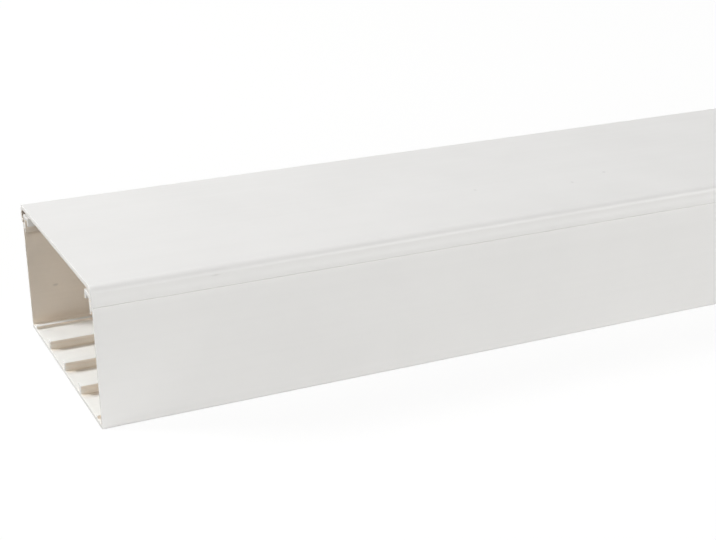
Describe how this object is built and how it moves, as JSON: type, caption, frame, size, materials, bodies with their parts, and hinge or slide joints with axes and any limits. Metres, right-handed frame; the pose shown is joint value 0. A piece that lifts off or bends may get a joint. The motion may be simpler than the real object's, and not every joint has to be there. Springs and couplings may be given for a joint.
{
  "type": "cable trunking",
  "caption": "White rectangular plastic cable trunking: an open-ended channel with floor rails for partitions and cable-retaining lips, closed by a clip-on cover that slides along it.",
  "frame": {"origin": "middle of the underside that lies on the floor or wall", "axes": "+X runs along the stock, +Y across it, +Z from the underside to the cover"},
  "size_m": [2, 0.1216, 0.06],
  "materials": {
    "channel_pvc": "satin extruded, sawn ends",
    "cover_pvc": "satin extruded, sawn ends"
  },
  "bodies": {
    "base": {"base": "channel_pvc"},
    "cover": {"cover": "cover_pvc"}
  },
  "joints": [
    {"name": "cover_slide", "type": "slide", "parent": "base", "child": "cover", "axis": [1, 0, 0], "range_m": [-2, 2]}
  ]
}
